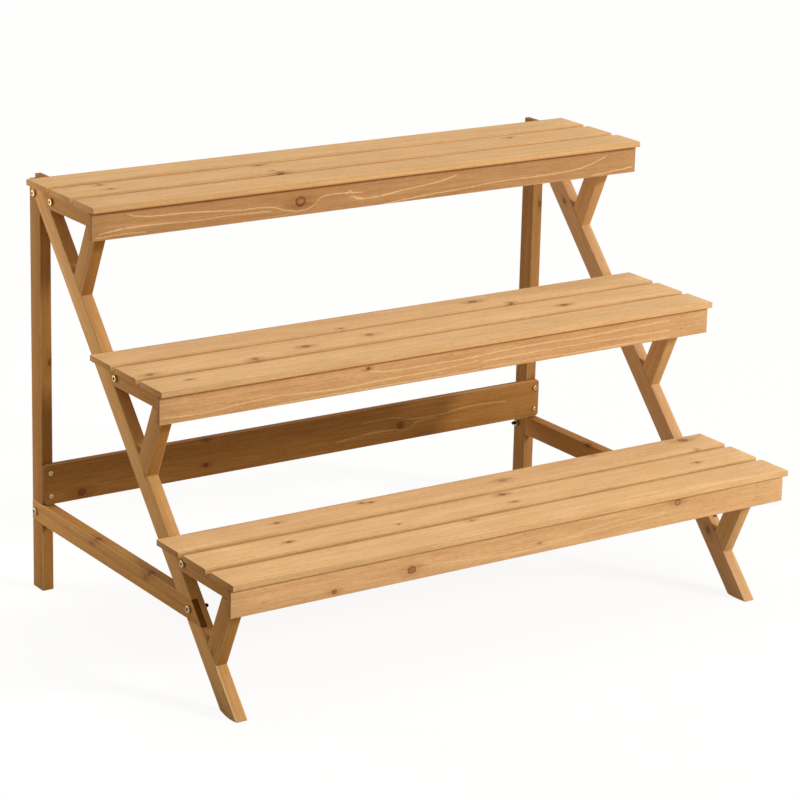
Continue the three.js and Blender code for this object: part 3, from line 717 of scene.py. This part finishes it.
SLAT_KNOTS = {
    (1, 1): [(-61, 24, 3, "faint")],
    (1, 2): [(-336, 4, 3.5, "dark"), (-161, -11, 2.2, "dark"), (44, 21, 4.5, "dark"), (41, -14, 3, "faint"),
             (394, -6, 3.5, "dark")],
    (1, 3): [(-310, 5, 3.5, "dark"), (-158, 17, 3, "dark"), (-144, 13, 3, "dark"), (82, -3, 6, "faint"),
             (273, 25, 3, "faint"), (445, 17, 7, "dark"), (435, -29, 2.5, "faint", 4)],
    (2, 1): [(-427, 4, 3, "faint")],
    (2, 2): [(-464, -23, 5, "dark"), (-294, -26, 4.5, "dark"), (-196, -8, 5.2, "dark"), (-80, -1, 5.5, "dark"),
             (276, -6, 5, "dark")],
    (2, 3): [(-100, -26, 3, "dark"), (162, 4, 6, "dark"), (211, -29, 3.5, "dark", 4)],
    (3, 2): [(-415, 21, 4, "dark"), (-412, -8, 4, "dark"), (-143, 26, 4.5, "dark"), (-136, -30, 5, "dark", 4),
             (-141, -14, 2.5, "faint"), (321, 15, 4.5, "dark")],
}
SLAT_TONES = {1: "EABD87", 2: "E8BC86", 3: "E4B67F"}
# the brads stand in from the slat's long edges. Painted shade darkens those edges, mostly below the shade
# line, as a dark line of shade in the gaps between slats, and on the front slat less and all over
EDGE_IN, SHADE_LINE = 8 * MM, 2.2 * MM
FRONT_EDGE_SHADE, JOINT_EDGE_SHADE = (0.3, 0.3), (0.05, 0.55)
for tier in TIERS:
    for row in (1, 2, 3):
        low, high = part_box(f"slat_{tier}_{row}")
        slat = blank(f"shelf_{tier}_slat_{row}", low, high)
        if (tier, row) == (3, 1):
            ease(slat, RIGHT, 4.2 * MM, 5, lambda m: m.y < low.y + TOUCHING and m.z > high.z - TOUCHING)
            ease(slat, RIGHT, 1.8 * MM, 3, lambda m: m.y > high.y - TOUCHING or m.z < low.z + TOUCHING)
        else:
            ease(slat, RIGHT, 1.0 * MM)
        soften(slat, 0.5 * MM)
        pick_edges(slat, lambda a, b: True)
        bpy.ops.mesh.bisect(plane_co=(0, 0, high.z - SHADE_LINE), plane_no=UP)
        bpy.ops.object.mode_set(mode="OBJECT")
        places = [(x, y, high.z) for x in batten_places for y in (low.y + EDGE_IN, high.y - EDGE_IN)]
        brads = punch(f"slat_brads_{tier}_{row}", slat, places, UP)
        lay_grain(slat, (low + high) / 2, RIGHT, UP, FRONT_EDGE_SHADE if row == 1 else JOINT_EDGE_SHADE)
        # the slat's arrises get a dark painted line of shade, and its long edges the painted shade given above
        timber = fir(f"Honey_fir_slat_{tier}_{row}", SLAT_TONES[tier], 97 + 5 * tier + 17 * row,
                     rings=0.4, depth=28, spacing=6, knots=SLAT_KNOTS.get((tier, row), []), streaky=0.9,
                     painted_arris_share=0.9, painted_arris_tone="B0824A", end_grain_and_shade=SHELF_ENDS[tier])
        fit(slat, timber, "shelf_wood", f"slat_{tier}_{row}")
        fit(brads, steel, "zinc_plated_steel")

# ---- Bolts and nuts ----
# M6 furniture bolts with low round heads and hexagon sockets, yellow zinc plated, and nuts on the
# inner faces. They pull the halved joints and the bearers together.

# Steel plated with zinc and passivated yellow: a pale straw metal that clouds over in patches of
# some 3 mm, satin where it is clean and duller where it is filmed. The thread past the nut is painted dark, as
# shade, and made rougher
zinc = bpy.data.materials.new("Yellow_zinc_plated_steel")
zinc.use_nodes = True
tree = zinc.node_tree
shader = tree.nodes["Principled BSDF"]
shader.inputs["Metallic"].default_value = 1
spot = node(tree, "TexCoord").outputs["Object"]
cloud = node(tree, "TexNoise", {"Vector": spot, "Scale": 0.35 / MM, "Detail": 3.0})
plated = node(tree, "ValToRGB", {0: cloud})
for element, position, tone in zip(plated.color_ramp.elements, (0.3, 0.7), ("94784C", "C4AE82")):
    element.position, element.color = position, linear(tone)
shaded_thread = node(tree, "Attribute", attribute_name="past_nut").outputs["Fac"]
finish = node(tree, "Mix", {SHARE: shaded_thread, UNDER: plated, OVER: linear("3C2C1C")}, data_type="RGBA")
tree.links.new(finish.outputs[2], shader.inputs["Base Color"])
satin = node(tree, "MapRange", {VALUE: cloud, TO_MIN: 0.28, TO_MAX: 0.45})
satin = node(tree, "Math", {0: shaded_thread, 1: 0.3, 2: satin}, operation="MULTIPLY_ADD")
tree.links.new(satin.outputs[0], shader.inputs["Roughness"])

HEAD_RADIUS, HEAD_HEIGHT, SOCKET_DEPTH = 5.5 * MM, 3.4 * MM, 2.2 * MM
SHANK_RADIUS, THREAD_ROOT, PITCH, TIP = 3 * MM, 2.6 * MM, 1 * MM, 1.7 * MM
# across the flats, the socket takes a 4.8 mm key and the nut a 10 mm spanner
SOCKET_CORNER, NUT_CORNER, NUT_HEIGHT = 4.8 * MM / math.sqrt(3), 10 * MM / math.sqrt(3), 5 * MM


def make_bolt(name, node_name, nut_seat):
    """A bolt as it stands tightened, its head on the outer face and the nut on the inner one."""
    low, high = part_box(node_name)
    centre = (low + high) / 2
    tail, top = low.x, high.x

    def bar(bar_name, x0, x1, radius, sides):
        return rod(bar_name, Vector(((x0 + x1) / 2, centre.y, centre.z)), radius, x1 - x0, sides)

    head = bar(name, top - HEAD_HEIGHT, top, HEAD_RADIUS, 40)
    round_over(head, 1.3 * MM, 4, lambda a, b: min(a.x, b.x) > top - TOUCHING)
    combine(head, bar("socket", top - SOCKET_DEPTH, top + 1 * MM, SOCKET_CORNER, 6))
    combine(head, bar("shank", nut_seat - 4 * MM, top - 2.6 * MM, SHANK_RADIUS, 24), "UNION")
    # a hexagon nut whose corners are turned off
    nut = bar("nut", nut_seat - NUT_HEIGHT, nut_seat, NUT_CORNER, 6)
    turned = bar("turned", nut_seat - NUT_HEIGHT, nut_seat, 5.85 * MM, 40)
    round_over(turned, 0.7 * MM, 2, lambda a, b: abs((b - a).normalized().x) < 0.1)
    combine(nut, turned, "INTERSECT")
    combine(head, nut, "UNION")
    # the thread past the nut, pulled out turn by turn from a ring, with a tapered end
    start = nut_seat - 4.5 * MM
    thread = bar("thread", start, start + PITCH, THREAD_ROOT, 24)
    pick_edges(thread, lambda a, b: max(a.x, b.x) < start + TOUCHING)
    crest = 1.14
    while start > tail + TIP:
        for step, grow in ((0.35, crest), (0.15, 1.0), (0.35, 1 / crest), (0.15, 1.0)):
            bpy.ops.mesh.extrude_region_move(TRANSFORM_OT_translate={"value": (-step * PITCH, 0, 0)})
            bpy.ops.transform.resize(value=(1, grow, grow), center_override=centre)
        start -= PITCH
    bpy.ops.mesh.extrude_region_move(TRANSFORM_OT_translate={"value": (tail - start, 0, 0)})
    bpy.ops.transform.resize(value=(1, 0.8, 0.8), center_override=centre)
    bpy.ops.object.mode_set(mode="OBJECT")
    combine(head, thread, "UNION")
    past_nut = head.data.attributes.new("past_nut", "FLOAT", "FACE")
    for polygon, value in zip(head.data.polygons, past_nut.data):
        value.value = polygon.center.x < nut_seat - NUT_HEIGHT - TOUCHING
    bpy.ops.object.shade_smooth_by_angle(angle=math.radians(35))
    return head


batten_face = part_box("batten_1_right")[0].x
for place, nut_face, tiers in (("post_top", INNER, (1,)), ("post_rail", INNER, (1,)),
                               ("stringer_rail", INNER, (1,)), ("bearer_1", batten_face, TIERS)):
    bolt = make_bolt(f"right_fixing_{place}", f"right_bolt_{place}", nut_face - SEAT / 2)
    for tier in tiers:
        joint = place.replace("1", str(tier))
        for side in ("left", "right"):
            piece = placed(bolt, f"{side}_fixing_{joint}", side, TIER_STEP * (tier - 1))
            fit(piece, zinc, "zinc_plated_steel", f"{side}_bolt_{joint}")

# ---- Screws ----
# Four cross-recessed pan-head screws, two at each end of the cross board, driven through it into
# the posts. They are yellow zinc plated like the bolts.

SCREW_RADIUS, SCREW_HEIGHT, SCREW_SHANK, SCREW_SPACING = 4 * MM, 2 * MM, 1.75 * MM, 37 * MM
SLOT_LONG, SLOT_WIDE, SLOT_DEEP = 4.8 * MM, 1.4 * MM, 3.2 * MM
low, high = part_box("right_screw_lower")
face = Vector(((low.x + high.x) / 2, low.y, (low.z + high.z) / 2))
screw = rod("right_board_screw_lower", face + BACK * (SCREW_HEIGHT / 2), SCREW_RADIUS, SCREW_HEIGHT, 32,
            ALONG_Y)
round_over(screw, 1.1 * MM, 4, lambda a, b: max(a.y, b.y) < low.y + TOUCHING)
# two slots that narrow towards their floor make the cross
for wide, tall in ((SLOT_LONG, SLOT_WIDE), (SLOT_WIDE, SLOT_LONG)):
    half = Vector((wide, SLOT_DEEP, tall)) / 2
    slot = blank("slot", face - half, face + half)
    pick_edges(slot, lambda a, b: min(a.y, b.y) > low.y)
    bpy.ops.transform.resize(value=(0.6, 1, 0.6), center_override=face)
    bpy.ops.object.mode_set(mode="OBJECT")
    combine(screw, slot)
shank_start = face + BACK * (SCREW_HEIGHT / 2)
shank_end = Vector((face.x, high.y, face.z))
shank = rod("shank", (shank_start + shank_end) / 2, SCREW_SHANK, high.y - shank_start.y, 20, ALONG_Y)
round_over(shank, 1.6 * MM, 1, lambda a, b: min(a.y, b.y) > high.y - TOUCHING)
combine(screw, shank, "UNION")
bpy.ops.object.shade_smooth_by_angle(angle=math.radians(35))
for side in ("left", "right"):
    for level, rise in (("lower", 0), ("upper", SCREW_SPACING)):
        piece = placed(screw, f"{side}_board_screw_{level}", side, UP * rise)
        fit(piece, zinc, "zinc_plated_steel", f"{side}_screw_{level}")

# ---- Studio ----
# A pale floor and a white surround, a key light on the right in front, a soft one overhead, two
# fills, and the camera where the photographer stood, looking down a little with a long lens.

bpy.ops.object.select_all(action="DESELECT")
bpy.ops.mesh.primitive_plane_add(size=14, location=(0, 0, 0))
floor = settle("studio_floor")
# Matt white paper, rolled. It reads as white with a soft shadow, and throws back a warm, weaker
# light, as a sheet does in a timber-toned room
paper = bpy.data.materials.new("White_paper_sweep")
world = bpy.data.worlds.new("studio_surround")
bpy.context.scene.world = world
straight = {}
for lit in (paper, world):
    # whether the floor or the surround is seen by the camera, straight or in a gloss
    lit.use_nodes = True
    tree = lit.node_tree
    ray = node(tree, "LightPath").outputs
    seen = node(tree, "Math", {0: ray["Is Camera Ray"], 1: ray["Is Glossy Ray"]}, operation="ADD")
    straight[lit.name] = node(
        tree, "Math", {0: seen, 1: ray["Is Transmission Ray"]}, operation="ADD", use_clamp=True)
tree, seen = paper.node_tree, straight[paper.name]
thrown = tree.nodes["Principled BSDF"]
thrown.inputs["Base Color"].default_value = linear("AAA497")
thrown.inputs["Roughness"].default_value = 0.9
shade = node(tree, "BsdfDiffuse", {"Color": linear("FFFFFF")})
glow = node(tree, "Emission", {"Color": linear("FFFFFF"), "Strength": 1.02})
white = node(tree, "MixShader", {0: 0.88, 1: shade, 2: glow})
sweep = node(tree, "MixShader", {0: seen, 1: thrown, 2: white})
tree.links.new(sweep.outputs[0], tree.nodes["Material Output"].inputs["Surface"])
floor.data.materials.append(paper)
floor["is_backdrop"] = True

tree, seen = world.node_tree, straight[world.name]
level = node(tree, "MapRange", {VALUE: seen, TO_MIN: 0.30, TO_MAX: 1.0})
tree.links.new(level.outputs[0], tree.nodes["Background"].inputs["Strength"])
warmth = node(tree, "Mix", {SHARE: seen, UNDER: linear("FFF3DA"), OVER: linear("FFFFFF")}, data_type="RGBA")
tree.links.new(warmth.outputs[2], tree.nodes["Background"].inputs["Color"])


def lamp(name, kind, power, place, aim=(0, 0, 0), colour="FFFFFF", **spread):
    """A lamp at a place, turned to what it is aimed at. For a sun, only the direction counts."""
    light = bpy.data.lights.new(name, kind)
    light.energy, light.color = power, linear(colour)[:3]
    for key, value in spread.items():
        setattr(light, key, value)
    holder = bpy.data.objects.new(name, light)
    bpy.context.collection.objects.link(holder)
    holder.location = place
    holder.rotation_euler = (Vector(place) - Vector(aim)).to_track_quat("Z", "Y").to_euler()


lamp("key", "SUN", 2.0, (0.55, -0.70, 0.42), angle=math.radians(9))
lamp("overhead", "SUN", 0.8, (0.1, -0.15, 1), angle=math.radians(60))
lamp("low_fill", "AREA", 18, (1.6, -1.95, 0.4), (0.3, -0.2, 0.25), size=1.6)
lamp("side_fill", "AREA", 6, (-1.15, 0.85, 0.5), (-0.46, 0.1, 0.3), "FFF8E7", size=0.6)

# the camera's place in metres, its turn in radians and its lens in mm, as fitted to the photo
CAMERA_PLACE = (-2.33775, -3.44208, 1.60409)
YAW, PITCH_DOWN, ROLL = 0.59415, 0.26547, 0.02473
SENSOR, LENS, SHIFT_X, SHIFT_Y = 36, 129.06, -0.0006, -0.1244
ahead = Vector((math.sin(YAW) * math.cos(PITCH_DOWN), math.cos(YAW) * math.cos(PITCH_DOWN),
                -math.sin(PITCH_DOWN)))
flat_right = ahead.cross(UP).normalized()
flat_up = flat_right.cross(ahead)
right = flat_right * math.cos(ROLL) + flat_up * math.sin(ROLL)
up = flat_up * math.cos(ROLL) - flat_right * math.sin(ROLL)
camera = bpy.data.objects.new("camera", bpy.data.cameras.new("camera"))
bpy.context.collection.objects.link(camera)
camera.data.sensor_width, camera.data.lens = SENSOR, LENS
camera.data.shift_x, camera.data.shift_y = SHIFT_X, SHIFT_Y
camera.data.clip_start, camera.data.clip_end = 0.1, 50
camera.rotation_euler = Matrix((right, up, -ahead)).transposed().to_euler()
camera.location = CAMERA_PLACE
bpy.context.scene.camera = camera
bpy.context.scene.view_settings.view_transform = "Standard"

low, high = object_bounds()
